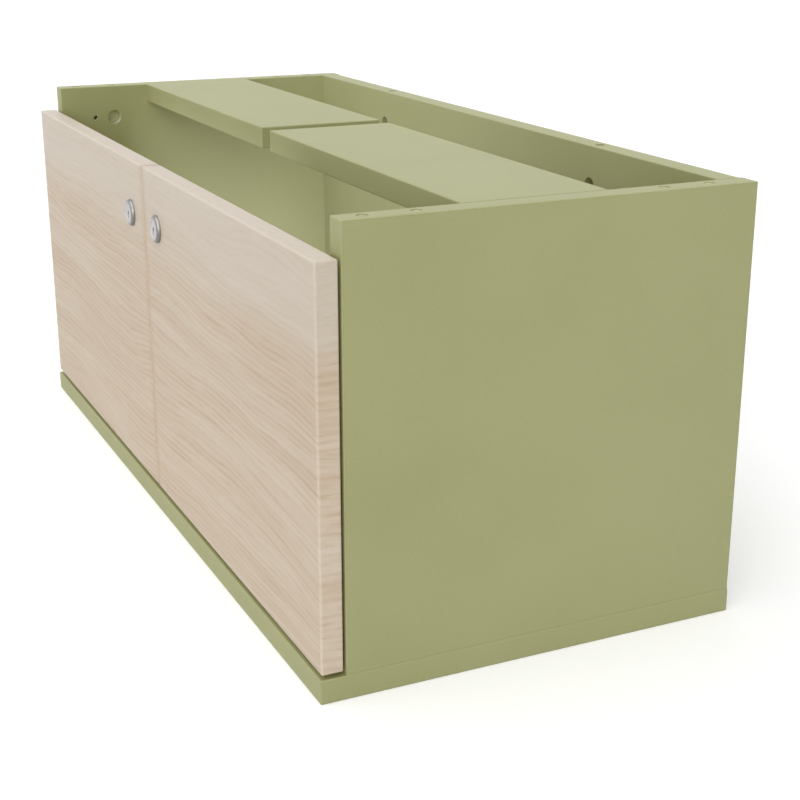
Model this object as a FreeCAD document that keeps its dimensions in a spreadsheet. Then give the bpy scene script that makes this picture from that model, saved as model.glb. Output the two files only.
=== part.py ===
import FreeCAD
import Part
import Sketcher
import os
import re
from FreeCAD import Placement, Rotation, Vector

# A low two-door cabinet without its top plate, in millimetres.
# +X runs to the right of someone who faces the doors, +Y to the back, +Z up.
# The origin is on the floor, in the middle of the cabinet's outline.

SIZES = (
    # Carcass boards
    ("carcass_width", 800, "across the outer faces of the sides"),
    ("side_depth", 329.5, "front edge to rear edge of a side"),
    ("side_height", 326, "height of a side above the base"),
    ("board", 19, "thickness of every carcass board"),
    ("board_round", 1, "radius on the boards' bare edges"),
    ("base_lip", 0.5, "how far the base stands proud of the sides and rear"),
    ("base_front", 20, "how far the base reaches in front of the sides"),
    ("back_inset", 2.5, "rear edge of the sides to the back panel"),
    ("rail_setback", 96.5, "front edge of the sides to the top rails"),
    ("rail_width", 117, "top rail, front to back"),
    ("rail_gap", 21, "open gap between the two top rails"),
    ("post_depth", 40, "centre post, front to back"),
    ("post_drop", 28, "lock axis down to the top of the centre post"),
    # Bores for a top plate
    ("top_dowel_front", 19, "front edge to the front dowel hole"),
    ("top_bolt_front", 58, "front edge to the front bolt hole"),
    ("top_bolt_back", 75.5, "rear edge to the rear bolt hole"),
    ("top_dowel_back", 36.5, "rear edge to the rear dowel hole"),
    ("top_dowel_depth", 20, "depth of the top dowel holes"),
    ("back_bolt_reach", 206, "middle of the back panel to its bolt holes"),
    ("bolt_bore", 4, "radius of a connector bolt's bore"),
    ("cam_bore", 7.5, "radius of a connector cam's bore"),
    ("cam_reach", 34, "board edge to the cam's axis"),
    ("cam_floor", 5, "board left behind a cam bore"),
    ("cam_slot", 2, "width of the slot in a connector cam"),
    ("cam_slot_depth", 2.5, "depth of the slot in a connector cam"),
    ("system_front", 37, "front edge to the line of system holes"),
    ("system_drop", 34, "top edge to the upper system hole"),
    ("pilot_bore", 2.5, "radius of a system hole"),
    ("pilot_floor", 7, "board left behind a system hole"),
    # Joinery
    ("dowel_bore", 4, "radius of a dowel hole"),
    ("dowel_length", 30, "length of a dowel"),
    ("dowel_floor", 8, "board left under a dowel hole in a face"),
    ("wood_fit", 0.05, "radial clearance of what sits in a bore"),
    ("free_fit", 0.2, "radial clearance of a bolt in its bore"),
    ("end_play", 0.4, "clearance at the end of a dowel"),
    ("base_dowel_inset", 30, "end of a side to its base dowels"),
    ("base_screw_inset", 75, "end of a side to its base screws"),
    ("back_foot_dowel", 300, "middle of the back panel to its base dowels"),
    ("back_foot_screw", 150, "middle of the back panel to its base screws"),
    ("post_dowel_inset", 9, "front and rear of the post to its dowels"),
    ("back_dowel_inset", 62, "ends of the back panel's height to its side dowels"),
    ("rail_cam_inset", 22, "long edge of a rail to its cams"),
    ("rail_dowel_inset", 46, "long edge of a rail to its dowels"),
    ("base_screw_bore", 3.5, "radius of a base screw's hole"),
    ("base_screw_head", 5, "radius of a base screw's head"),
    ("base_screw_sink", 4, "height of a base screw's head"),
    ("base_screw_length", 50, "length of a base screw"),
    ("socket_width", 2.3, "corner radius of a hexagon socket"),
    ("socket_depth", 3, "depth of a hexagon socket"),
    # Doors
    ("door_thick", 17, "thickness of a door"),
    ("door_gap", 2, "back of a door to the front edge of a side"),
    ("door_seam", 3, "gap between the two doors"),
    ("door_foot_gap", 3.5, "base to the lower edge of a door"),
    ("door_drop", 25, "top of the sides to the upper edge of a door"),
    ("edging", 2, "thickness of the doors' edge band"),
    ("edging_round", 1.6, "radius on the edge band's long corners"),
    ("bumper_radius", 3, "radius of a door bumper"),
    ("bumper_play", 0.3, "clearance in front of the centre post"),
    ("bumper_inset", 30, "end of a door or post to a bumper"),
    # Concealed hinges
    ("hinge_inset", 66, "upper and lower edge of a door to a hinge"),
    ("hinge_in", 7, "outer face of a side to the hinge pin"),
    ("cup_radius", 17.5, "radius of a hinge cup"),
    ("cup_skin", 3.5, "door left in front of a hinge cup"),
    ("cup_wall", 0.8, "wall of a hinge cup"),
    ("pin_in_cup", 4, "hinge pin to the outside of the cup"),
    ("pin_radius", 1.2, "radius of a hinge pin"),
    ("pin_length", 15, "length of a hinge pin"),
    ("pin_fit", 0.04, "radial clearance of a pin in its arm"),
    ("lug_wall", 0.8, "metal round a pin in the cup's lugs"),
    ("lug_gap", 0.7, "hinge arm to the cup's lugs"),
    ("strip", 1.1, "thickness of a hinge arm's steel"),
    ("arm_clear", 0.4, "hinge arm to the floor of the cup"),
    ("arm_width", 9, "width of a hinge arm in the cup"),
    ("arm_bend", 3, "inner radius of a hinge arm's bend"),
    ("arm_stand", 8.4, "side's inner face to the underside of a hinge arm"),
    ("arm_tail", 62, "front edge of a side to the rear of a hinge arm"),
    ("channel_start", 12, "front edge of a side to the arm's channel"),
    ("channel_width", 16, "outer width of the arm's channel"),
    ("channel_wall", 5, "depth of the arm's channel walls"),
    ("flange_thick", 1, "thickness of a cup's flange"),
    ("flange_long", 60, "height of a cup's flange"),
    ("flange_out", 7.5, "cup axis to the flange's outer edge"),
    ("flange_in", 20.5, "cup axis to the flange's inner edge"),
    ("flange_round", 4, "corner radius of flanges and plates"),
    ("cup_screw_pitch", 48, "between the two screws of a cup"),
    ("cup_screw_off", 6, "cup axis to its line of screws"),
    ("cup_screw_bore", 1.75, "radius of a cup screw's hole"),
    ("cup_screw_depth", 11, "depth of a cup screw in the door"),
    ("cup_screw_head", 3.4, "radius of a cup screw's head"),
    ("head_height", 1.6, "height of the small screws' heads"),
    ("plate_thick", 2.5, "thickness of a mounting plate's wings"),
    ("plate_long", 50, "height of a mounting plate's wings"),
    ("plate_wide", 17, "depth of a mounting plate's wings"),
    ("plate_pitch", 32, "between the two screws of a plate"),
    ("plate_head", 4, "radius of a plate screw's head"),
    ("block_wide", 12, "height of a mounting plate's block"),
    ("block_long", 46, "depth of a mounting plate's block"),
    ("clamp_off", 12, "line of system holes to an arm screw"),
    ("clamp_depth", 6, "depth of an arm screw in the block"),
    # Locks
    ("lock_reach", 40, "middle of the cabinet to a lock"),
    ("lock_drop", 48, "upper edge of a door to a lock"),
    ("rosette_radius", 12, "radius of a lock's rosette"),
    ("rosette_proud", 3.5, "how far a rosette stands in front of its door"),
    ("rosette_edge", 2.9, "rounding of a rosette's rim"),
    ("barrel_radius", 9.5, "radius of a lock's barrel"),
    ("barrel_tail", 8, "how far a barrel reaches behind its door"),
    ("plug_radius", 6.5, "radius of a lock's plug"),
    ("plug_head", 7.8, "radius of the plug's head"),
    ("plug_head_long", 2.2, "length of the plug's head"),
    ("plug_recess", 0.4, "rosette's face to the plug's face"),
    ("plug_fit", 0.05, "clearance of a plug in its barrel"),
    ("keyhole_radius", 1.7, "radius of the keyhole's round"),
    ("keyhole_slot", 1.4, "width of the keyhole's slot"),
    ("keyhole_drop", 4.6, "plug's axis to the end of the slot"),
    ("keyhole_depth", 9, "depth of the keyhole"),
    ("nut_width", 13, "corner radius of a lock's nut"),
    ("nut_thick", 5, "thickness of a lock's nut"),
    ("cam_thick", 2.5, "thickness of a lock's cam"),
    ("cam_half", 7, "half the width of a lock's cam"),
    ("cam_heel", 8, "lock axis to the heel of the cam"),
    ("cam_tip_gap", 4, "turned cam's tip to the middle of the cabinet"),
    ("cam_play", 0.2, "barrel's end to the cam"),
    ("cam_round", 4, "corner radius of a cam"),
    ("square", 8, "width of the plug's square tail"),
    ("cam_screw_head", 5, "radius of a cam screw's head"),
    ("cam_screw_bore", 2, "radius of a cam screw's hole"),
    ("cam_screw_depth", 9, "depth of a cam screw in the plug"),
    ("keeper_thick", 2, "thickness of the lock keeper's steel"),
    ("keeper_half", 24, "half the width of the lock keeper"),
    ("keeper_rise", 42, "height of the lock keeper"),
    ("keeper_foot", 28, "depth of the lock keeper's foot"),
    ("keeper_bend", 2, "inner radius of the lock keeper's bend"),
    ("keeper_edge", 0.5, "side of the post to the keeper's foot"),
    ("keeper_screw_front", 11, "front of the keeper to its front screw"),
    ("keeper_screw_back", 4.5, "rear of the keeper's foot to its rear screw"),
    ("keeper_screw_bore", 1.75, "radius of a keeper screw's hole"),
    ("keeper_screw_head", 3.4, "radius of a keeper screw's head"),
    ("keeper_screw_depth", 22, "depth of a keeper screw in the post"),
    ("lock_play", 1, "turned cam to the lock keeper"),
)

ALIASES = {alias for alias, value, meaning in SIZES}

# Places that many pieces share, as expressions on the sizes above
OUTER = "(carcass_width / 2)"
INNER = "(carcass_width / 2 - board)"
TOP = "(board + side_height)"
FRONT = "((door_gap + door_thick + rosette_proud - side_depth - base_lip) / 2)"
REAR = f"({FRONT} + side_depth)"
BACK_MIDDLE = f"({REAR} - back_inset - board / 2)"
DOOR_BACK = f"({FRONT} - door_gap)"
DOOR_FRONT = f"({DOOR_BACK} - door_thick)"
DOOR_FOOT = "(board + door_foot_gap)"
DOOR_TOP = f"({TOP} - door_drop)"
DOOR_WIDTH = "((carcass_width - door_seam) / 2)"
DOOR_HEIGHT = f"({DOOR_TOP} - {DOOR_FOOT})"
LOCK_HEIGHT = f"({DOOR_TOP} - lock_drop)"
POST_TOP = f"({LOCK_HEIGHT} - post_drop)"
FACE_DEPTH = "(board - dowel_floor)"
EDGE_DEPTH = "(dowel_length + 2 * end_play - board + dowel_floor)"
CAM_DEPTH = "(board - cam_floor)"
PILOT_DEPTH = "(board - pilot_floor)"
EYE_RADIUS = "(pin_radius + strip)"
CUP_DEPTH = "(door_thick - cup_skin)"
PIN_DEPTH = f"({CUP_DEPTH} - cup_wall - arm_clear - {EYE_RADIUS})"
CUP_IN = "(hinge_in + cup_radius - pin_in_cup)"
PIN_X = f"(hinge_in - {OUTER})"
PIN_Y = f"({DOOR_BACK} - {PIN_DEPTH})"
BARREL_END = "(door_thick + barrel_tail)"
CAM_START = f"({BARREL_END} + cam_play)"
CAM_LENGTH = "(lock_reach - cam_tip_gap)"
KEEPER_FRONT = f"({DOOR_BACK} + barrel_tail + cam_play - lock_play - keeper_thick)"
KEEPER_SCREWS = (f"{KEEPER_FRONT} + keeper_screw_front", f"{KEEPER_FRONT} + keeper_foot - keeper_screw_back")
HINGE_HEIGHTS = {
    "upper": f"({DOOR_TOP} - hinge_inset)",
    "lower": f"({DOOR_FOOT} + hinge_inset)",
}

# Each face of a piece: the sketch plane, whether a cut runs along the plane's normal,
# and the sign that turns the face's coordinate into an offset along that normal
FACES = {
    "top": ("XY_Plane", False, "1"),
    "bottom": ("XY_Plane", True, "1"),
    "right": ("YZ_Plane", False, "1"),
    "left": ("YZ_Plane", True, "1"),
    "front": ("XZ_Plane", False, "-1"),
    "back": ("XZ_Plane", True, "-1"),
}
ALONG_X = Rotation(Vector(0, 1, 0), 90)
ALONG_Y = Rotation(Vector(1, 0, 0), -90)
ALONG_Z = Rotation()

doc = FreeCAD.newDocument("two_door_cabinet")
sheet = doc.addObject("Spreadsheet::Sheet", "size")
for row, (alias, value, meaning) in enumerate(SIZES, start=1):
    sheet.set(f"A{row}", meaning)
    sheet.set(f"B{row}", str(value))
    sheet.setAlias(f"B{row}", alias)
doc.recompute()

nodes = []


def ex(text):
    """The expression with every size name pointed at the sheet."""
    return re.sub(r"[a-z_]+", lambda word: "size." + word[0] if word[0] in ALIASES else word[0], text)


def num(text):
    """The present value of an expression."""
    return float(sheet.evalExpression(ex(text)))


def bind(thing, **sizes):
    """Tie properties of an object to expressions."""
    for name, text in sizes.items():
        thing.setExpression(name, ex(text))


def place(thing, x, y, z, turn=ALONG_Z):
    """Put an object's own origin at a place, turned."""
    thing.Placement = Placement(Vector(num(x), num(y), num(z)), turn)
    for axis, text in zip("xyz", (x, y, z)):
        thing.setExpression(f"Placement.Base.{axis}", ex(text))


def keep(thing, label):
    """Make an object one of the cabinet's named pieces."""
    thing.Label = label
    nodes.append(thing)
    return thing


def sketch_on(body, plane, offset):
    """A sketch on one of the body's own planes, moved along the plane's normal."""
    flat = body.newObject("Sketcher::SketchObject", "sketch")
    flat.AttachmentSupport = [(next(f for f in body.Origin.OriginFeatures if f.Role == plane), "")]
    flat.MapMode = "FlatFace"
    flat.setExpression("AttachmentOffset.Base.z", ex(offset))
    return flat


def pin_point(flat, edge, end, across, up):
    """Hold one point of a sketch at its two distances from the origin."""
    for kind, text in (("DistanceX", across), ("DistanceY", up)):
        index = flat.addConstraint(Sketcher.Constraint(kind, -1, 1, edge, end, num(text)))
        flat.setExpression(f"Constraints[{index}]", ex(text))


def draw_outline(flat, corners):
    """A closed outline of straight lines through the corners."""
    first = flat.GeometryCount
    spots = [Vector(num(across), num(up), 0) for across, up in corners]
    for index, spot in enumerate(spots):
        flat.addGeometry(Part.LineSegment(spot, spots[(index + 1) % len(spots)]))
    for index, (across, up) in enumerate(corners):
        following = first + (index + 1) % len(corners)
        flat.addConstraint(Sketcher.Constraint("Coincident", first + index, 2, following, 1))
        pin_point(flat, first + index, 1, across, up)


def draw_box(flat, left, right, low, high):
    """A rectangle between two pairs of distances."""
    draw_outline(flat, [(left, low), (right, low), (right, high), (left, high)])


def draw_circles(flat, spots, radius):
    """Circles of one radius."""
    for across, up in spots:
        middle = Vector(num(across), num(up), 0)
        edge = flat.addGeometry(Part.Circle(middle, Vector(0, 0, 1), num(radius)))
        pin_point(flat, edge, 3, across, up)
        index = flat.addConstraint(Sketcher.Constraint("Radius", edge, num(radius)))
        flat.setExpression(f"Constraints[{index}]", ex(radius))


def pad(body, flat, length, side="One side", reverse=False):
    """Raise a sketch into the body."""
    solid = body.newObject("PartDesign::Pad", "pad")
    solid.Profile = flat
    solid.SideType = side
    solid.Reversed = reverse
    bind(solid, Length=length)
    doc.recompute()
    return solid


def cut(body, flat, depth, side="One side", reverse=False):
    """Sink a sketch into the body, and make sure that it took material away."""
    before = body.Tip.Shape.Volume
    hollow = body.newObject("PartDesign::Pocket", "pocket")
    hollow.Profile = flat
    hollow.SideType = side
    hollow.Reversed = reverse
    bind(hollow, Length=depth)
    doc.recompute()
    if not hollow.Shape.Volume < before:
        raise ValueError(f"{body.Label}: a pocket cuts nothing")
    return hollow


def drill(body, face, level, spots, radius, depth):
    """Round holes of one size, from a face at a level into the body."""
    plane, reverse, sign = FACES[face]
    flat = sketch_on(body, plane, f"{sign} * ({level})")
    draw_circles(flat, spots, radius)
    cut(body, flat, depth, reverse=reverse)


def round_edges(body, radius, wanted):
    """Round the edges whose middle point is wanted."""
    shape = body.Tip.Shape
    names = []
    for index, edge in enumerate(shape.Edges, start=1):
        first, last = edge.ParameterRange
        if wanted(edge.valueAt((first + last) / 2), edge):
            names.append(f"Edge{index}")
    fillet = body.newObject("PartDesign::Fillet", "fillet")
    fillet.Base = (fillet.BaseFeature, names)
    bind(fillet, Radius=radius)
    doc.recompute()


def near(value, text):
    """Whether a coordinate lies at an expression's value."""
    return abs(value - num(text)) < 1e-4


def new_board(label, corner, size, bare):
    """A board with its lower front left corner at a place, rounded on its bare edges."""
    body = keep(doc.addObject("PartDesign::Body", label), label)
    place(body, *corner)
    flat = sketch_on(body, "XY_Plane", "0")
    draw_box(flat, "0", size[0], "0", size[1])
    pad(body, flat, size[2])
    if bare:
        round_edges(body, "board_round", bare)
    return body


def rod(radius, length, spot, turn):
    """A plain round rod from a place along a direction."""
    bar = doc.addObject("Part::Cylinder", "rod")
    bind(bar, Radius=radius, Height=length)
    place(bar, *spot, turn)
    return bar


def joined(pieces):
    """One solid from pieces that run into each other."""
    whole = doc.addObject("Part::MultiFuse", "joined")
    whole.Shapes = pieces
    return whole


def less(base, tool):
    """One solid with another taken away from it."""
    rest = doc.addObject("Part::Cut", "less")
    rest.Base = base
    rest.Tool = tool
    return rest


def group(label, pieces):
    """Like pieces, each a solid of its own, under one name."""
    bunch = doc.addObject("Part::Compound", label)
    bunch.Links = pieces
    return keep(bunch, label)


def twin(source):
    """The right-hand piece that mirrors a left-hand one."""
    label = source.Label.replace("left_", "right_")
    mirrored = doc.addObject("Part::Mirroring", label)
    mirrored.Source = source
    mirrored.Normal = Vector(1, 0, 0)
    return keep(mirrored, label)


def both_ways(text):
    """An expression and its negative."""
    return (f"-({text})", text)


def shifted(text, start):
    """A place measured from another place."""
    return f"({text}) - ({start})"


# Where the base is held to what stands on it: x and y of each dowel and screw
SIDE_MIDDLES = both_ways(f"{OUTER} - board / 2")
BASE_DOWELS = [(x, y) for x in SIDE_MIDDLES
               for y in (f"{FRONT} + base_dowel_inset", f"{REAR} - base_dowel_inset")]
BASE_DOWELS += [(x, BACK_MIDDLE) for x in both_ways("back_foot_dowel")]
POST_DOWELS = [("0", f"{FRONT} + post_dowel_inset"), ("0", f"{FRONT} + post_depth - post_dowel_inset")]
BASE_SCREWS = [(x, y) for x in SIDE_MIDDLES
               for y in (f"{FRONT} + base_screw_inset", f"{REAR} - base_screw_inset")]
BASE_SCREWS += [(x, BACK_MIDDLE) for x in both_ways("back_foot_screw")]
POST_SCREWS = [("0", f"{FRONT} + post_depth / 2")]
SCREW_RISE = "(base_screw_length - board)"
# Heights of the dowels between the back panel and the sides, above the base
BACK_DOWEL_RISES = ("back_dowel_inset", "side_height / 2", "side_height - back_dowel_inset")
# Places along a rail's width for its cams and its dowels
RAIL_CAMS = ("rail_cam_inset", "rail_width - rail_cam_inset")
RAIL_DOWELS = ("rail_dowel_inset", "rail_width - rail_dowel_inset")


def build_base():
    """Base board under everything, with holes for its dowels and screws."""
    corner = (f"-{OUTER} - base_lip", f"{FRONT} - base_front", "0")
    size = ("carcass_width + 2 * base_lip", "base_front + side_depth + base_lip", "board")
    base = new_board("base_panel", corner, size, lambda spot, edge: True)
    dowels = [(shifted(x, corner[0]), shifted(y, corner[1])) for x, y in BASE_DOWELS + POST_DOWELS]
    screws = [(shifted(x, corner[0]), shifted(y, corner[1])) for x, y in BASE_SCREWS + POST_SCREWS]
    drill(base, "top", "board", dowels, "dowel_bore", FACE_DEPTH)
    drill(base, "bottom", "0", screws, "base_screw_bore", "board")
    drill(base, "bottom", "0", screws, "base_screw_head + wood_fit", "base_screw_sink")


def build_sides():
    """Left side with its bores, and the right side that mirrors it."""
    side = new_board("left_side", (f"-{OUTER}", FRONT, "board"), ("board", "side_depth", "side_height"),
                     lambda spot, edge: spot.z > num("board_round"))
    middle = "board / 2"
    front_bolt = "top_bolt_front"
    rear_bolt = "side_depth - top_bolt_back"
    cam_rise = "side_height - cam_reach"
    drill(side, "top", "side_height", [(middle, "top_dowel_front"), (middle, "side_depth - top_dowel_back")],
          "dowel_bore", "top_dowel_depth")
    drill(side, "top", "side_height", [(middle, front_bolt), (middle, rear_bolt)], "bolt_bore", "cam_reach")
    drill(side, "right", "board", [(front_bolt, cam_rise), (rear_bolt, cam_rise)], "cam_bore", CAM_DEPTH)
    system = [("system_front", "side_height - system_drop")]
    for height in HINGE_HEIGHTS.values():
        system += [("system_front", f"{height} - board + {step}") for step in both_ways("plate_pitch / 2")]
    rail_bolts = [(f"rail_setback + {step}", "side_height - board / 2") for step in RAIL_CAMS]
    drill(side, "right", "board", system + rail_bolts, "pilot_bore", PILOT_DEPTH)
    dowels = [("side_depth - back_inset - board / 2", rise) for rise in BACK_DOWEL_RISES]
    dowels += [(f"rail_setback + {step}", "side_height - board / 2") for step in RAIL_DOWELS]
    drill(side, "right", "board", dowels, "dowel_bore", FACE_DEPTH)
    drill(side, "bottom", "0", [(middle, "base_dowel_inset"), (middle, "side_depth - base_dowel_inset")],
          "dowel_bore", EDGE_DEPTH)
    drill(side, "bottom", "0", [(middle, "base_screw_inset"), (middle, "side_depth - base_screw_inset")],
          "base_screw_bore", SCREW_RISE)
    twin(side)


def build_back():
    """Back panel between the sides, with bores for a top plate."""
    wide = f"(2 * {INNER})"
    back = new_board("back_panel", (f"-{INNER}", f"{BACK_MIDDLE} - board / 2", "board"),
                     (wide, "board", "side_height"),
                     lambda spot, edge: near(spot.z, "side_height") and near(spot.x, INNER))
    bolts = [f"{INNER} + {reach}" for reach in both_ways("back_bolt_reach")]
    drill(back, "top", "side_height", [(x, "board / 2") for x in bolts], "bolt_bore", "cam_reach")
    drill(back, "front", "0", [(x, "side_height - cam_reach") for x in bolts], "cam_bore", CAM_DEPTH)
    ends = [("board / 2", rise) for rise in BACK_DOWEL_RISES]
    drill(back, "left", "0", ends, "dowel_bore", EDGE_DEPTH)
    drill(back, "right", wide, ends, "dowel_bore", EDGE_DEPTH)
    feet = [(f"{INNER} + {reach}", "board / 2") for reach in both_ways("back_foot_dowel")]
    drill(back, "bottom", "0", feet, "dowel_bore", EDGE_DEPTH)
    feet = [(f"{INNER} + {reach}", "board / 2") for reach in both_ways("back_foot_screw")]
    drill(back, "bottom", "0", feet, "base_screw_bore", SCREW_RISE)


def build_rails():
    """Left top rail with its bores, and the right rail that mirrors it."""
    rail = new_board("left_top_rail", (f"-{INNER}", f"{FRONT} + rail_setback", f"{TOP} - board"),
                     (f"{INNER} - rail_gap / 2", "rail_width", "board"),
                     lambda spot, edge: spot.x > num("board_round"))
    drill(rail, "left", "0", [(step, "board / 2") for step in RAIL_DOWELS], "dowel_bore", EDGE_DEPTH)
    drill(rail, "left", "0", [(step, "board / 2") for step in RAIL_CAMS], "bolt_bore", "cam_reach")
    drill(rail, "bottom", "0", [("cam_reach", step) for step in RAIL_CAMS], "cam_bore", CAM_DEPTH)
    twin(rail)


def build_post():
    """Narrow post behind the seam of the doors, which carries the lock keeper."""
    post = new_board("centre_post", ("-board / 2", FRONT, "board"),
                     ("board", "post_depth", f"{POST_TOP} - board"),
                     lambda spot, edge: near(spot.z, f"({POST_TOP} - board) / 2"))
    drill(post, "bottom", "0", [("board / 2", shifted(y, FRONT)) for x, y in POST_DOWELS],
          "dowel_bore", EDGE_DEPTH)
    drill(post, "bottom", "0", [("board / 2", shifted(y, FRONT)) for x, y in POST_SCREWS],
          "base_screw_bore", SCREW_RISE)
    drill(post, "top", f"{POST_TOP} - board", [("board / 2", shifted(y, FRONT)) for y in KEEPER_SCREWS],
          "keeper_screw_bore", "keeper_screw_depth")


def build_keeper():
    """Bent steel plate on the post, behind which both lock cams turn."""
    keeper = keep(doc.addObject("PartDesign::Body", "lock_keeper"), "lock_keeper")
    place(keeper, "0", KEEPER_FRONT, POST_TOP)
    flat = sketch_on(keeper, "YZ_Plane", "0")
    draw_box(flat, "0", "keeper_thick", "0", "keeper_rise")
    pad(keeper, flat, "2 * keeper_half", side="Symmetric")
    flat = sketch_on(keeper, "YZ_Plane", "0")
    draw_box(flat, "0", "keeper_foot", "0", "keeper_thick")
    pad(keeper, flat, "board - 2 * keeper_edge", side="Symmetric")
    round_edges(keeper, "keeper_bend",
                lambda spot, edge: near(spot.y, "keeper_thick") and near(spot.z, "keeper_thick"))
    drill(keeper, "top", "keeper_thick", [("0", shifted(y, KEEPER_FRONT)) for y in KEEPER_SCREWS],
          "keeper_screw_bore", "keeper_thick")
    screws = []
    for y in KEEPER_SCREWS:
        seat = f"{POST_TOP} + keeper_thick"
        shank = rod("keeper_screw_bore - wood_fit", "keeper_screw_depth + keeper_thick",
                    ("0", y, f"{POST_TOP} - keeper_screw_depth"), ALONG_Z)
        head = rod("keeper_screw_head", "head_height", ("0", y, seat), ALONG_Z)
        screws.append(joined([shank, head]))
    group("keeper_screws", screws)


def build_dowels():
    """Beech dowels in the joints of the carcass."""
    radius = "dowel_bore - wood_fit"
    low = f"board - {FACE_DEPTH} + end_play"
    group("base_dowels", [rod(radius, "dowel_length", (x, y, low), ALONG_Z)
                          for x, y in BASE_DOWELS + POST_DOWELS])
    starts = (f"-{INNER} - {FACE_DEPTH} + end_play", f"{INNER} + {FACE_DEPTH} - end_play - dowel_length")
    group("back_dowels", [rod(radius, "dowel_length", (x, BACK_MIDDLE, f"board + {rise}"), ALONG_X)
                          for x in starts for rise in BACK_DOWEL_RISES])
    group("rail_dowels", [rod(radius, "dowel_length", (x, f"{FRONT} + rail_setback + {step}",
                                                       f"{TOP} - board / 2"), ALONG_X)
                          for x in starts for step in RAIL_DOWELS])


def build_base_screws():
    """Socket-head connector screws, from below the base into the boards on it."""
    screws = []
    for x, y in BASE_SCREWS + POST_SCREWS:
        foot = (x, y, "end_play")
        shank = rod("base_screw_bore - wood_fit", "base_screw_length - end_play", foot, ALONG_Z)
        head = rod("base_screw_head", "base_screw_sink - end_play", foot, ALONG_Z)
        socket = doc.addObject("Part::Prism", "socket")
        socket.Polygon = 6
        bind(socket, Circumradius="socket_width", Height="socket_depth + end_play")
        place(socket, x, y, "0")
        screws.append(less(joined([shank, head]), socket))
    group("base_screws", screws)


def build_connectors():
    """Cam connectors between each rail and its side: a bolt in the side, a cam in the rail."""
    bolts = []
    cams = []
    middle = f"{TOP} - board / 2"
    for step in RAIL_CAMS:
        y = f"{FRONT} + rail_setback + {step}"
        thread = rod("pilot_bore - wood_fit", PILOT_DEPTH, (f"-{INNER} - {PILOT_DEPTH}", y, middle), ALONG_X)
        shank = rod("bolt_bore - free_fit", "cam_reach - cam_bore", (f"-{INNER}", y, middle), ALONG_X)
        neck = rod("pilot_bore", "cam_bore", (f"-{INNER} + cam_reach - cam_bore", y, middle), ALONG_X)
        bolts.append(joined([thread, shank, neck]))
        disc = rod("cam_bore - wood_fit", f"{CAM_DEPTH} - end_play",
                   (f"-{INNER} + cam_reach", y, f"{TOP} - board"), ALONG_Z)
        passage = rod("pilot_bore + wood_fit", "cam_bore + end_play",
                      (f"-{INNER} + cam_reach - cam_bore", y, middle), ALONG_X)
        slot = doc.addObject("Part::Box", "slot")
        bind(slot, Length="cam_bore", Width="cam_slot", Height="cam_slot_depth")
        place(slot, f"-{INNER} + cam_reach - cam_bore / 2", f"{y} - cam_slot / 2", f"{TOP} - board")
        cams.append(less(less(disc, passage), slot))
    twin(group("left_rail_bolts", bolts))
    twin(group("left_rail_cams", cams))


def build_doors():
    """Left door board with its bores, its edge band and bumpers, and the right-hand twins."""
    corner = (f"-{OUTER} + edging", DOOR_FRONT, f"{DOOR_FOOT} + edging")
    door = new_board("left_door", corner,
                     (f"{DOOR_WIDTH} - 2 * edging", "door_thick", f"{DOOR_HEIGHT} - 2 * edging"), None)
    cups = [(f"{CUP_IN} - edging", shifted(height, corner[2])) for height in HINGE_HEIGHTS.values()]
    drill(door, "back", "door_thick", cups, "cup_radius + wood_fit", CUP_DEPTH)
    screws = [(f"{x} + cup_screw_off", f"{z} + {step}") for x, z in cups
              for step in both_ways("cup_screw_pitch / 2")]
    drill(door, "back", "door_thick", screws, "cup_screw_bore", "cup_screw_depth")
    lock = [(shifted("-lock_reach", corner[0]), shifted(LOCK_HEIGHT, corner[2]))]
    drill(door, "back", "door_thick", lock, "barrel_radius + wood_fit", "door_thick")
    twin(door)
    build_edging()
    inner = "-(door_seam / 2 + edging + board / 2) / 2"
    bumpers = [rod("bumper_radius", "door_gap - bumper_play", (inner, DOOR_BACK, z), ALONG_Y)
               for z in (f"{DOOR_FOOT} + bumper_inset", f"{POST_TOP} - bumper_inset")]
    twin(group("left_door_bumpers", bumpers))


def build_edging():
    """Four strips of edge band round the left door, and the right-hand twin."""
    upright = ("edging", DOOR_HEIGHT)
    level = (f"{DOOR_WIDTH} - 2 * edging", "edging")
    strips = []
    for name, (width, height), x, z, outer in (
            ("outer", upright, "0", "0", lambda spot: near(spot.x, "0")),
            ("inner", upright, f"{DOOR_WIDTH} - edging", "0", lambda spot: near(spot.x, "edging")),
            ("lower", level, "edging", "0", lambda spot: near(spot.z, "0")),
            ("upper", level, "edging", f"{DOOR_HEIGHT} - edging", lambda spot: near(spot.z, "edging"))):
        strip = doc.addObject("PartDesign::Body", f"edging_{name}")
        place(strip, f"-{OUTER} + {x}", DOOR_FRONT, f"{DOOR_FOOT} + {z}")
        profile = sketch_on(strip, "XZ_Plane", "0")
        draw_box(profile, "0", width, "0", height)
        pad(strip, profile, "door_thick", reverse=True)
        longest = max(num(height), num(width))
        round_edges(strip, "edging_round",
                    lambda spot, edge: outer(spot) and abs(edge.Length - longest) < 1e-4)
        strips.append(strip)
    twin(group("left_door_edging", strips))


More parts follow.
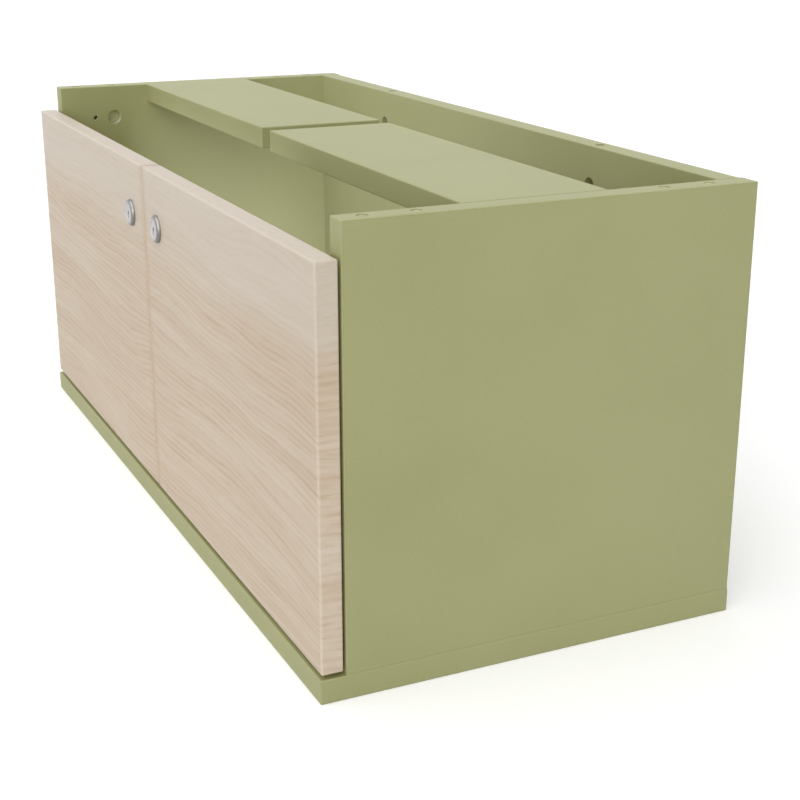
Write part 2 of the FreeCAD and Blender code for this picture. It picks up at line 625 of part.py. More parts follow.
def build_hinge_cup(name, height):
    """Cup of one left-hand hinge, with two lugs on its floor that carry the pin, and the pin."""
    cup = keep(doc.addObject("PartDesign::Body", f"left_{name}_hinge_cup"), f"left_{name}_hinge_cup")
    place(cup, f"-{OUTER} + {CUP_IN}", DOOR_BACK, height)
    flat = sketch_on(cup, "XZ_Plane", "0")
    draw_circles(flat, [("0", "0")], "cup_radius")
    pad(cup, flat, CUP_DEPTH)
    flat = sketch_on(cup, "XZ_Plane", "0")
    draw_box(flat, "-flange_out", "flange_in", "-flange_long / 2", "flange_long / 2")
    pad(cup, flat, "flange_thick", reverse=True)
    round_edges(cup, "flange_round",
                lambda spot, edge: near(spot.y, "flange_thick / 2") and near(abs(spot.z), "flange_long / 2"))
    drill(cup, "back", "flange_thick", [("0", "0")], "cup_radius - cup_wall",
          f"flange_thick + {CUP_DEPTH} - cup_wall")
    drill(cup, "back", "flange_thick", [("cup_screw_off", step) for step in both_ways("cup_screw_pitch / 2")],
          "cup_screw_bore", "flange_thick")
    pin_across = f"(hinge_in - {CUP_IN})"
    floor = f"({CUP_DEPTH} - cup_wall)"
    lug_half = "(pin_radius + lug_wall)"
    flat = sketch_on(cup, "XZ_Plane", floor)
    for low, high in (("arm_width / 2 + lug_gap", "pin_length / 2"),
                      ("-pin_length / 2", "-arm_width / 2 - lug_gap")):
        draw_box(flat, f"{pin_across} - {lug_half}", f"{pin_across} + {lug_half}", low, high)
    pad(cup, flat, f"{floor} - {PIN_DEPTH} + {lug_half}", reverse=True)
    flat = sketch_on(cup, "XY_Plane", "0")
    draw_circles(flat, [(pin_across, f"-{PIN_DEPTH}")], "pin_radius")
    cut(cup, flat, "pin_length", side="Symmetric")
    twin(cup)

    pin = rod("pin_radius", "pin_length", (PIN_X, PIN_Y, f"{height} - pin_length / 2"), ALONG_Z)
    twin(keep(pin, f"left_{name}_hinge_pin"))


def build_hinge_arm(name, height):
    """Bent steel arm of one left-hand hinge, from its eye on the pin to its channel on the plate."""
    arm = keep(doc.addObject("PartDesign::Body", f"left_{name}_hinge_arm"), f"left_{name}_hinge_arm")
    place(arm, PIN_X, PIN_Y, height)
    web = "(board + arm_stand - hinge_in)"
    tail = f"(arm_tail + door_gap + {PIN_DEPTH})"
    start = f"(channel_start + door_gap + {PIN_DEPTH})"
    flat = sketch_on(arm, "XY_Plane", "0")
    draw_outline(flat, [("0", f"-{EYE_RADIUS}"), (f"{web} + strip", f"-{EYE_RADIUS}"),
                        (f"{web} + strip", tail), (web, tail), (web, "-pin_radius"), ("0", "-pin_radius")])
    pad(arm, flat, "arm_width", side="Symmetric")
    round_edges(arm, "arm_bend", lambda spot, edge: near(spot.x, web) and near(spot.y, "-pin_radius"))
    round_edges(arm, "arm_bend + strip",
                lambda spot, edge: near(spot.x, f"{web} + strip") and near(spot.y, f"-{EYE_RADIUS}"))
    flat = sketch_on(arm, "XY_Plane", "0")
    draw_circles(flat, [("0", "0")], EYE_RADIUS)
    pad(arm, flat, "arm_width", side="Symmetric")
    flat = sketch_on(arm, "XZ_Plane", f"-{start}")
    half = "channel_width / 2"
    draw_outline(flat, [(f"{web} - channel_wall", f"-{half}"), (f"{web} + strip", f"-{half}"),
                        (f"{web} + strip", half), (f"{web} - channel_wall", half),
                        (f"{web} - channel_wall", f"{half} - strip"), (web, f"{half} - strip"),
                        (web, f"strip - {half}"), (f"{web} - channel_wall", f"strip - {half}")])
    pad(arm, flat, f"{tail} - {start}", reverse=True)
    flat = sketch_on(arm, "XY_Plane", "0")
    draw_circles(flat, [("0", "0")], "pin_radius + pin_fit")
    cut(arm, flat, "arm_width", side="Symmetric")
    line = f"(system_front + door_gap + {PIN_DEPTH})"
    clamps = [(f"{line} + {step}", "0") for step in both_ways("clamp_off")]
    drill(arm, "right", f"{web} + strip", clamps, "pilot_bore + free_fit", "strip")
    twin(arm)


def build_hinge_plate(name, height):
    """Mounting plate of one left-hand hinge: two wings on the side and a block under the arm."""
    plate = keep(doc.addObject("PartDesign::Body", f"left_{name}_hinge_plate"), f"left_{name}_hinge_plate")
    place(plate, f"-{INNER}", f"{FRONT} + system_front", height)
    flat = sketch_on(plate, "YZ_Plane", "0")
    draw_box(flat, "-plate_wide / 2", "plate_wide / 2", "-plate_long / 2", "plate_long / 2")
    pad(plate, flat, "plate_thick")
    round_edges(plate, "flange_round", lambda spot, edge: near(spot.x, "plate_thick / 2"))
    flat = sketch_on(plate, "YZ_Plane", "0")
    draw_box(flat, "-block_long / 2", "block_long / 2", "-block_wide / 2", "block_wide / 2")
    pad(plate, flat, "arm_stand")
    screws = [("0", step) for step in both_ways("plate_pitch / 2")]
    drill(plate, "right", "plate_thick", screws, "pilot_bore", "plate_thick")
    drill(plate, "right", "plate_thick", screws, "plate_head + wood_fit", "head_height")
    drill(plate, "right", "arm_stand", [(step, "0") for step in both_ways("clamp_off")],
          "pilot_bore", "clamp_depth")
    twin(plate)


def build_hinge_screws():
    """Screws of the left-hand hinges, and the right-hand twins."""
    cup_screws = []
    plate_screws = []
    arm_screws = []
    web = f"-{INNER} + arm_stand + strip"
    for height in HINGE_HEIGHTS.values():
        for step in both_ways("cup_screw_pitch / 2"):
            x = f"-{OUTER} + {CUP_IN} + cup_screw_off"
            shank = rod("cup_screw_bore - wood_fit", "cup_screw_depth + flange_thick",
                        (x, f"{DOOR_BACK} - cup_screw_depth", f"{height} + {step}"), ALONG_Y)
            head = rod("cup_screw_head", "head_height",
                       (x, f"{DOOR_BACK} + flange_thick", f"{height} + {step}"), ALONG_Y)
            cup_screws.append(joined([shank, head]))
        for step in both_ways("plate_pitch / 2"):
            spot = (f"{FRONT} + system_front", f"{height} + {step}")
            shank = rod("pilot_bore - wood_fit", f"{PILOT_DEPTH} + plate_thick",
                        (f"-{INNER} - {PILOT_DEPTH}", *spot), ALONG_X)
            head = rod("plate_head", "head_height", (f"-{INNER} + plate_thick - head_height", *spot), ALONG_X)
            plate_screws.append(joined([shank, head]))
        for step in both_ways("clamp_off"):
            spot = (f"{FRONT} + system_front + {step}", height)
            shank = rod("pilot_bore - wood_fit", "clamp_depth + strip",
                        (f"{web} - clamp_depth - strip", *spot), ALONG_X)
            head = rod("plate_head", "head_height", (web, *spot), ALONG_X)
            arm_screws.append(joined([shank, head]))
    twin(group("left_hinge_cup_screws", cup_screws))
    twin(group("left_hinge_plate_screws", plate_screws))
    twin(group("left_hinge_arm_screws", arm_screws))


def new_turned(label, outline):
    """A turned piece on the left lock's axis: outline of radius and depth behind the door's face."""
    body = keep(doc.addObject("PartDesign::Body", label), label)
    place(body, "-lock_reach", DOOR_FRONT, LOCK_HEIGHT)
    flat = sketch_on(body, "XY_Plane", "0")
    draw_outline(flat, outline)
    turned = body.newObject("PartDesign::Revolution", "turned")
    turned.Profile = flat
    turned.ReferenceAxis = (flat, ["V_Axis"])
    turned.Angle = 360
    doc.recompute()
    return body


def build_lock_barrel():
    """Housing and turning plug of the left door's lock, and the right-hand twins."""
    face = "(-rosette_proud)"
    plug_face = f"({face} + plug_recess)"
    head_end = f"({face} + plug_head_long)"
    bore = "plug_radius + plug_fit"
    housing = new_turned("left_lock_housing", [
        ("plug_head + plug_fit", face), ("rosette_radius", face), ("rosette_radius", "0"), ("barrel_radius", "0"),
        ("barrel_radius", BARREL_END), (bore, BARREL_END), (bore, f"{head_end} + plug_fit"),
        ("plug_head + plug_fit", f"{head_end} + plug_fit")])
    round_edges(housing, "rosette_edge",
                lambda spot, edge: near(abs(spot.x), "rosette_radius") and near(spot.y, face))
    twin(housing)

    plug = new_turned("left_lock_plug", [
        ("0", plug_face), ("plug_head", plug_face), ("plug_head", head_end),
        ("plug_radius", head_end), ("plug_radius", CAM_START), ("0", CAM_START)])
    flat = sketch_on(plug, "XZ_Plane", f"-{CAM_START}")
    draw_box(flat, "-square / 2", "square / 2", "-square / 2", "square / 2")
    pad(plug, flat, "cam_thick", reverse=True)
    drill(plug, "front", plug_face, [("0", "0")], "keyhole_radius", "keyhole_depth")
    flat = sketch_on(plug, "XZ_Plane", f"-{plug_face}")
    draw_box(flat, "-keyhole_slot / 2", "keyhole_slot / 2", "-keyhole_drop", "0")
    cut(plug, flat, "keyhole_depth")
    drill(plug, "back", f"{CAM_START} + cam_thick", [("0", "0")], "cam_screw_bore", "cam_screw_depth")
    twin(plug)


def build_lock_cam():
    """Cam, cam screw and nut of the left door's lock, and the right-hand twins."""
    cam = keep(doc.addObject("PartDesign::Body", "left_lock_cam"), "left_lock_cam")
    place(cam, "-lock_reach", f"{DOOR_FRONT} + {CAM_START}", LOCK_HEIGHT)
    flat = sketch_on(cam, "XZ_Plane", "0")
    draw_box(flat, "-cam_half", "cam_half", f"-{CAM_LENGTH}", "cam_heel")
    pad(cam, flat, "cam_thick", reverse=True)
    round_edges(cam, "cam_round", lambda spot, edge: near(spot.y, "cam_thick / 2"))
    flat = sketch_on(cam, "XZ_Plane", "-cam_thick")
    half = "square / 2 + plug_fit"
    draw_box(flat, f"-({half})", half, f"-({half})", half)
    cut(cam, flat, "cam_thick", reverse=True)
    twin(cam)

    seat = f"{DOOR_FRONT} + {CAM_START} + cam_thick"
    shank = rod("cam_screw_bore - wood_fit", "cam_screw_depth",
                ("-lock_reach", f"{seat} - cam_screw_depth", LOCK_HEIGHT), ALONG_Y)
    head = rod("cam_screw_head", "head_height", ("-lock_reach", seat, LOCK_HEIGHT), ALONG_Y)
    twin(keep(joined([shank, head]), "left_lock_cam_screw"))

    hexagon = doc.addObject("Part::Prism", "hexagon")
    hexagon.Polygon = 6
    bind(hexagon, Circumradius="nut_width", Height="nut_thick")
    place(hexagon, "-lock_reach", DOOR_BACK, LOCK_HEIGHT, ALONG_Y)
    passage = rod("barrel_radius + wood_fit", "nut_thick", ("-lock_reach", DOOR_BACK, LOCK_HEIGHT), ALONG_Y)
    twin(keep(less(hexagon, passage), "left_lock_nut"))


def write_parts():
    """Check every object, then write one file for each named piece."""
    doc.recompute()
    for thing in doc.Objects:
        if "Invalid" in thing.State or "Error" in thing.State:
            raise ValueError(f"{thing.Label} failed: {thing.State}")
    for node in nodes:
        if node.Shape.isNull() or not node.Shape.isValid():
            raise ValueError(f"{node.Label} has no sound shape")
    os.makedirs("parts", exist_ok=True)
    for node in nodes:
        node.Shape.exportStep(os.path.join("parts", f"{node.Label}.step"))


build_base()
build_sides()
build_back()
build_rails()
build_post()
build_keeper()
build_dowels()
build_base_screws()
build_connectors()
build_doors()
for hinge_name, hinge_height in HINGE_HEIGHTS.items():
    build_hinge_cup(hinge_name, hinge_height)
    build_hinge_arm(hinge_name, hinge_height)
    build_hinge_plate(hinge_name, hinge_height)
build_hinge_screws()
build_lock_barrel()
build_lock_cam()
write_parts()
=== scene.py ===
import math

import bpy
import numpy as np
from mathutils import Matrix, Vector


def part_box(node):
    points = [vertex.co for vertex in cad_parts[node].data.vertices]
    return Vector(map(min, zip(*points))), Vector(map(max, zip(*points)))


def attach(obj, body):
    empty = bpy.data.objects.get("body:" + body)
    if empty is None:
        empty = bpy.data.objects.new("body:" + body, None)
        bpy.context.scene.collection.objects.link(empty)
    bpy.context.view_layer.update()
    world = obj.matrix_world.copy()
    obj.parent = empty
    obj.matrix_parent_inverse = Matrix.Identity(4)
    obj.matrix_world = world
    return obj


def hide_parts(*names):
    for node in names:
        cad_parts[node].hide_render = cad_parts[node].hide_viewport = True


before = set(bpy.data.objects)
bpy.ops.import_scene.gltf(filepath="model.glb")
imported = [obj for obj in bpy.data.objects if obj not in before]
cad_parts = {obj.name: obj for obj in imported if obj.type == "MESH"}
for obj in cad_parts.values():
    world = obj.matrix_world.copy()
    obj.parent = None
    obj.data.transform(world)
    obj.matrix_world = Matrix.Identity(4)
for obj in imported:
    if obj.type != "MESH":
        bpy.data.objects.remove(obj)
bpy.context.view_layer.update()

# Low two-door cabinet: sage-green boards, pale maple doors, nickel locks and concealed hinges.
# Lengths are in millimetres, and become metres where a mesh or a pattern is made.
# x runs across from the middle, y from the doors to the back, z up from the floor.

MM = 0.001
SIDES = {"left": -1, "right": 1}
CREASE = math.radians(35)

# Boards and doors
SIDE_INNER = 381
SIDE_MIDDLE = 390.5
BACK_MIDDLE = 163.75
POST_MIDDLE = -133.75
RAIL_MIDDLE = 335.5
DOOR_BACK = -155.75
DOOR_FRONT = -172.75

# Locks, bumpers and hinges
LOCK_REACH = 40
LOCK_HEIGHT = 272
CAM_SCREW_SEAT = -145.05
BUMPER_REACH = 6.5
BUMPER_HEIGHTS = (52.5, 214)
HINGE_HEIGHTS = (88.5, 254)
SYSTEM_LINE = -116.75
CUP_SCREW_REACH = 373.5
CUP_SCREW_SEAT = DOOR_BACK + 1
CUP_SCREW_STEPS = (-24, 24)
PLATE_SCREW_SEAT = 380.1
PLATE_SCREW_STEPS = (-16, 16)
ARM_SCREW_SEAT = 371.5
ARM_SCREW_STEPS = (-12, 12)

# Screws and dowels in the carcass
KEEPER_SCREW_SEAT = 246
KEEPER_SCREW_LINES = (-139.55, -127.05)
BASE_SCREW_SEAT = 4
BASE_SCREW_LINES = (-78.75, 100.75)
BACK_SCREW_REACH = 150
DOWEL_LENGTH = 30
DOWEL_IN_SIDE = 10.6
BASE_DOWEL_FOOT = 8.4
BASE_DOWEL_LINES = (-123.75, 145.75)
BACK_DOWEL_REACH = 300
POST_DOWEL_LINES = (-144.75, -122.75)
BACK_DOWEL_HEIGHTS = (81, 182, 283)
RAIL_DOWEL_LINES = (-11.25, 13.75)

# Turns that lay a piece made along +z in another direction
LAID = {
    "+x": np.array([[0, 0, 1], [1, 0, 0], [0, 1, 0]], float),
    "-x": np.array([[0, 0, -1], [-1, 0, 0], [0, 1, 0]], float),
    "+y": np.array([[1, 0, 0], [0, 0, 1], [0, -1, 0]], float),
    "-y": np.array([[1, 0, 0], [0, 0, -1], [0, 1, 0]], float),
    "+z": np.eye(3),
    "-z": np.array([[1, 0, 0], [0, -1, 0], [0, 0, -1]], float),
}


# Surfaces

def turned(height, radius, angles):
    """Rings of a turned form: (radius cos angle, radius sin angle, height), for each height and angle."""
    height, radius = (np.broadcast_to(values, (len(values), len(angles))) for values in (height, radius))
    return np.stack([radius * np.cos(angles), radius * np.sin(angles), height], -1)


def column(values, angles):
    """One value per ring, repeated for every angle."""
    return np.repeat(np.asarray(values, float)[:, None], len(angles), 1)


def screw_rings(reach, shank, head, rise, pitch, angles, drive, sink, taper):
    """A screw along +z with the seat of its head at 0.

    Shank: radius times (1 - groove times saw), where saw folds height / pitch - angle / turn into 0 to 1.
    Head: a low rim, then a quarter ellipse up to a flat crown.
    Drive: the outline drive(angle) at the crown, and the same outline tapered at the depth sink.
    """
    groove = 0.22
    tip = 1.5 * shank
    thread = np.arange(tip - reach, -pitch / 2, pitch / 6)
    saw = np.abs(2 * ((thread[:, None] / pitch - angles / (2 * math.pi)) % 1) - 1)
    swell = np.linspace(0, math.pi / 2, 5)
    rim = 0.3 * rise
    crown = max(0.72 * head, drive.max() + 0.25)
    heights = [-reach, *thread, -pitch / 3, 0, 0, *(rim + (rise - rim) * np.sin(swell)), rise, rise - sink]
    radii = [column([0.2 * shank], angles), shank * (1 - groove * saw),
             column([0.9 * shank, 0.95 * shank, head, *(crown + (head - crown) * np.cos(swell))], angles),
             drive[None, :], taper * drive[None, :]]
    return turned(column(heights, angles), np.concatenate(radii), angles)


def cross_drive(arm, half):
    """Angles and outline of a cross recess.

    Outline: the nearer of arm / larger and half / smaller of |cos| and |sin|.
    """
    corner = math.atan2(half, arm)
    quarter = np.array([0, corner, (corner + math.pi / 4) / 2, math.pi / 4])
    quarter = np.concatenate([quarter, math.pi / 2 - quarter[2:0:-1]])
    angles = np.concatenate([quarter + turn * math.pi / 2 for turn in range(4)])
    across, up = np.abs(np.cos(angles)), np.abs(np.sin(angles))
    outline = np.minimum(arm / np.maximum(across, up), half / np.maximum(np.minimum(across, up), 1e-6))
    return {"angles": angles, "drive": outline}


def hexagon_drive(corner):
    """Angles and outline of a hexagon socket: flat's distance / cos(angle within a sixth - 30 degrees)."""
    angles = np.arange(24) * math.pi / 12
    sixth = math.pi / 3
    outline = corner * math.cos(sixth / 2) / np.cos(angles % sixth - sixth / 2)
    return {"angles": angles, "drive": outline}


def dowel_rings(length, radius):
    """A fluted dowel along +z, drawn in at its chamfered ends.

    Flutes: radius times (1 - shallow (1 + cos of 16 turns)).
    """
    shallow, chamfer, end = 0.035, 1.6, 0.74
    angles = np.arange(96) * math.pi / 48
    flutes = 1 - shallow * (1 + np.cos(16 * angles))
    heights = column([0, chamfer, length / 2, length - chamfer, length], angles)
    draw_in = column([end, 1, 1, 1, end], angles)
    return turned(heights, radius * draw_in * flutes, angles)


def bumper_rings(radius, rise):
    """A moulded bumper along +z: a short straight foot, then a quarter ellipse to a small flat crown."""
    foot = 0.25 * rise
    angles = np.arange(32) * math.pi / 16
    swell = np.linspace(0, 0.46 * math.pi, 8)
    heights = [0, *(foot + (rise - foot) * np.sin(swell) / math.sin(swell[-1]))]
    radii = [radius, *(radius * np.cos(swell) ** 0.8)]
    return turned(column(heights, angles), column(radii, angles), angles)


def housing_rings():
    """The lock's housing as a closed loop of rings, at heights in front of the door's face.

    Barrel: its radius less groove times a saw of height over pitch less angle over a turn, behind the door.
    Rosette: a short straight rim, a quarter circle up to a narrow flat face, and a bevel down to the plug.
    """
    barrel, bore, seat, rim = 9.5, 6.55, 7.85, 12.0
    proud, shoulder, bevel, ledge = 3.5, 2.9, 0.3, 1.25
    end, door_back, pitch, groove = -25, -17, 1.0, 0.25
    angles = np.arange(72) * math.pi / 36
    thread = np.arange(end, door_back, pitch / 6)
    saw = np.abs(2 * ((thread[:, None] / pitch - angles / (2 * math.pi)) % 1) - 1)
    bend = np.linspace(0, math.pi / 2, 13)
    heights = [*thread, door_back, 0, 0, *(proud - shoulder + shoulder * np.sin(bend)), proud, proud - bevel,
               ledge, ledge, end]
    radii = [barrel - groove * saw,
             column([barrel, barrel, rim, *(rim - shoulder + shoulder * np.cos(bend)),
                     seat + bevel, seat, seat, bore, bore], angles)]
    return turned(column(heights, angles), np.concatenate(radii), angles)


def band_rings(low, high):
    """An edge band round a door as a closed loop of rings, each at one depth behind the door's face.

    Section: a quarter circle of radius fold at the front, a flat edge, the same quarter circle at the back.
    Ring: the door's outline drawn in by the section's inset, its corners rounded by what is left of blunt,
    with a point at the distance hold before and after each corner to keep the long edges flat.
    """
    fold, thick, support = 1.6, 2, 0.3
    blunt, least, hold = 1.2, 0.02, 0.5
    bend = np.linspace(0, math.pi / 2, 7)
    wide, deep, high_side = high - low
    inset = [thick, *(fold * (1 - np.sin(bend))), 0, 0, *(fold * (1 - np.cos(bend))), thick]
    inset = np.array(inset)[:, None]
    depth = np.array([0, *(fold * (1 - np.cos(bend))), fold + support, deep - fold - support,
                      *(deep - fold + fold * np.sin(bend)), deep])[:, None]
    quarter = np.radians([0, 0, 22.5, 45, 67.5, 90, 90])
    angles = np.concatenate([quarter + turn * math.pi / 2 for turn in range(4)])
    push = np.tile([-hold, 0, 0, 0, 0, 0, hold], 4)
    right, up = np.repeat([1, -1, -1, 1], 7), np.repeat([1, 1, -1, -1], 7)
    corner = np.maximum(blunt - inset, least)
    across = right * (wide / 2 - inset - corner) + corner * np.cos(angles) - push * np.sin(angles)
    along = up * (high_side / 2 - inset - corner) + corner * np.sin(angles) + push * np.cos(angles)
    return np.stack([across, along, np.broadcast_to(depth - deep / 2, across.shape)], -1)


def put_in_scene(name, data):
    """A new object in the scene, at the origin."""
    made = bpy.data.objects.new(name, data)
    bpy.context.scene.collection.objects.link(made)
    return made


def make_piece(name, rings, spots, laid, loop=False):
    """One mesh of equal forms: quads join neighbouring rings, and a flat face closes each open end."""
    count, around = rings.shape[:2]
    ring = np.arange(count if loop else count - 1)[:, None] * around
    spoke = np.arange(around)
    following = (ring + around) % (count * around)
    onward = (spoke + 1) % around
    quads = np.stack([ring + spoke, ring + onward, following + onward, following + spoke], -1).reshape(-1, 4)
    local = rings.reshape(-1, 3) @ LAID[laid].T
    points = (local[None] + np.asarray(spots, float)[:, None]).reshape(-1, 3) * MM
    starts = np.arange(len(spots)) * count * around
    faces = (quads[None] + starts[:, None, None]).reshape(-1, 4).tolist()
    if not loop:
        faces += (starts[:, None] + spoke[::-1]).tolist()
        faces += (starts[:, None] + (count - 1) * around + spoke).tolist()
    mesh = bpy.data.meshes.new(name)
    mesh.from_pydata(points, [], faces)
    mesh.shade_smooth()
    mesh.set_sharp_from_angle(angle=CREASE)
    return put_in_scene(name, mesh)


def fit_piece(piece, body, slot, finish, *nodes):
    """Let a piece ride on a body in place of its CAD nodes, with its finish."""
    piece.data.materials.append(finish)
    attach(piece, body)
    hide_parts(*nodes)


# Finishes

def linear(code):
    """Linear colour of an sRGB hex value: c / 12.92 up to 0.04045, else ((c + 0.055) / 1.055) ** 2.4."""
    parts = np.array([int(code[start:start + 2], 16) for start in (1, 3, 5)]) / 255
    curve = np.where(parts <= 0.04045, parts / 12.92, ((parts + 0.055) / 1.055) ** 2.4)
    return (*curve.tolist(), 1.0)


def scale_for(*sizes):
    """Texture scale along x, y and z that gives a pattern features of these sizes in millimetres."""
    return [1 / (size * MM) for size in sizes]


def add(tree, kind, inputs=None, **settings):
    """A shader node with its settings; inputs gives a socket a value or another node's output.

    Sockets go by name or number. A MapRange takes its value at 0, the range it comes from at 1 and 2 and the
    range it goes to at 3 and 4. A colour Mix takes its share at 0 and its colours at 6 and 7, and gives 2.
    """
    made = tree.nodes.new("ShaderNode" + kind)
    for name, value in settings.items():
        setattr(made, name, value)
    for socket, value in (inputs or {}).items():
        if isinstance(value, bpy.types.NodeSocket):
            tree.links.new(value, made.inputs[socket])
        else:
            made.inputs[socket].default_value = value
    return made.outputs[0] if len(made.outputs) == 1 else made


def new_finish(name, **sockets):
    """A material and its surface shader, whose constant sockets are set directly."""
    finish = bpy.data.materials.new(name)
    finish.use_nodes = True
    shader = finish.node_tree.nodes["Principled BSDF"]
    for socket, value in sockets.items():
        shader.inputs[socket.replace("_", " ")].default_value = value
    return finish, finish.node_tree, shader


def link_surface(tree, shader, colour, rough, bump=None):
    """Link a finish's colour, roughness and, where it has one, bump to its surface shader."""
    tree.links.new(colour, shader.inputs["Base Color"])
    tree.links.new(rough, shader.inputs["Roughness"])
    if bump is not None:
        tree.links.new(bump, shader.inputs["Normal"])


def wear(finish, *nodes):
    """Give CAD nodes a finish in their own material slots."""
    for name in nodes:
        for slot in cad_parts[name].material_slots:
            slot.material = finish


def sage_board(node, bore=("#D0D1A6", "#E0E1BC", "#E6E6C0")):
    """Melamine-faced chipboard: an even matt colour with a fine pearl and a slight cloudiness,
    a hair line where the edge band meets the face, and pressed chips stained by the film's colour wherever a
    bore opens the board: a dark and a pale chip on its wall, and the colour of its floor. These bore colours
    are painted light: pale enough that the bore's own shade brings them near the film's tone, the floor
    palest;
    the back panel is given darker ones, which are painted shade."""
    low, high = (np.array(corner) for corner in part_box(node))
    middle, half = (low + high) / 2, (high - low) / 2
    thin = int(np.argmin(half))
    finish, tree, shader = new_finish("sage_melamine_" + node, Specular_IOR_Level=0.68)
    place = add(tree, "TexCoord").outputs["Object"]

    # Depth below each pair of faces, along x, y and z
    off = add(tree, "VectorMath", {0: place, 1: middle.tolist()}, operation="SUBTRACT").outputs[0]
    off = add(tree, "VectorMath", {0: off}, operation="ABSOLUTE").outputs[0]
    off = add(tree, "VectorMath", {0: half.tolist(), 1: off}, operation="SUBTRACT").outputs[0]
    depths = list(add(tree, "SeparateXYZ", {0: off}).outputs)
    along = [depth for axis, depth in enumerate(depths) if axis != thin]
    to_edge = add(tree, "Math", {0: along[0], 1: along[1]}, operation="MINIMUM")
    inside = add(tree, "Math", {0: to_edge, 1: depths[thin]}, operation="MINIMUM")
    opened = add(tree, "MapRange", {0: inside, 1: 0.4 * MM, 2: 0.6 * MM}).outputs[0]

    # Hair line 0.9 mm in from the edges, as thick as the edge band
    line = add(tree, "Math", {0: to_edge, 1: 0.9 * MM}, operation="SUBTRACT")
    line = add(tree, "Math", {0: line}, operation="ABSOLUTE")
    line = add(tree, "MapRange", {0: line, 1: 0.1 * MM, 2: 0.35 * MM, 3: 0.35, 4: 0.0}).outputs[0]

    # Pearl of the pressed film, too fine to show and so drawn as coarse as 1.1 mm, and clouds of about 120 mm
    pearl = add(tree, "TexNoise", {"Vector": place, "Scale": scale_for(1.1)[0], "Detail": 2.0}).outputs["Fac"]
    cloud = add(tree, "TexNoise", {"Vector": place, "Scale": scale_for(120)[0], "Detail": 2.0}).outputs["Fac"]
    tone = add(tree, "Math", {0: pearl, 1: cloud}, operation="ADD")
    tone = add(tree, "MapRange", {0: tone, 1: 0.7, 2: 1.3}).outputs[0]
    ends = {6: linear("#999A68"), 7: linear("#A0A170")}
    film = add(tree, "Mix", {0: tone, **ends}, data_type="RGBA").outputs[2]
    film = add(tree, "Mix", {0: line, 6: film, 7: linear("#84865C")}, data_type="RGBA").outputs[2]

    # Chips of about 2.5 mm in the bores, and a colour of its own on each bore's floor, set apart by the way
    # the
    # floor faces: painted light on most boards, painted shade on the back panel
    dark, pale, painted_floor_tone = (linear(code) for code in bore)
    chips = add(tree, "TexVoronoi", {"Vector": place, "Scale": scale_for(2.5)[0]})
    shade = add(tree, "SeparateXYZ", {0: chips.outputs["Color"]}).outputs[0]
    chip = add(tree, "Mix", {0: shade, 6: dark, 7: pale}, data_type="RGBA").outputs[2]
    normal = add(tree, "NewGeometry").outputs["Normal"]
    facing = add(tree, "VectorMath", {0: normal}, operation="ABSOLUTE").outputs[0]
    painted_floor_share = add(tree, "SeparateXYZ", {0: facing}).outputs[thin]
    painted_floor_share = add(tree, "MapRange", {0: painted_floor_share, 1: 0.7, 2: 0.95, 3: 0.0, 4: 0.85}).outputs[0]
    chip = add(tree, "Mix", {0: painted_floor_share, 6: chip, 7: painted_floor_tone}, data_type="RGBA").outputs[2]
    colour = add(tree, "Mix", {0: opened, 6: film, 7: chip}, data_type="RGBA").outputs[2]
    rough = add(tree, "MapRange", {0: pearl, 1: 0.3, 2: 0.7, 3: 0.42, 4: 0.52}).outputs[0]
    rough = add(tree, "Math", {0: rough, 1: opened}, operation="MAXIMUM")
    bump = add(tree, "Bump", {"Height": pearl, "Strength": 0.12, "Distance": 0.06 * MM})
    link_surface(tree, shader, colour, rough, bump)
    return finish


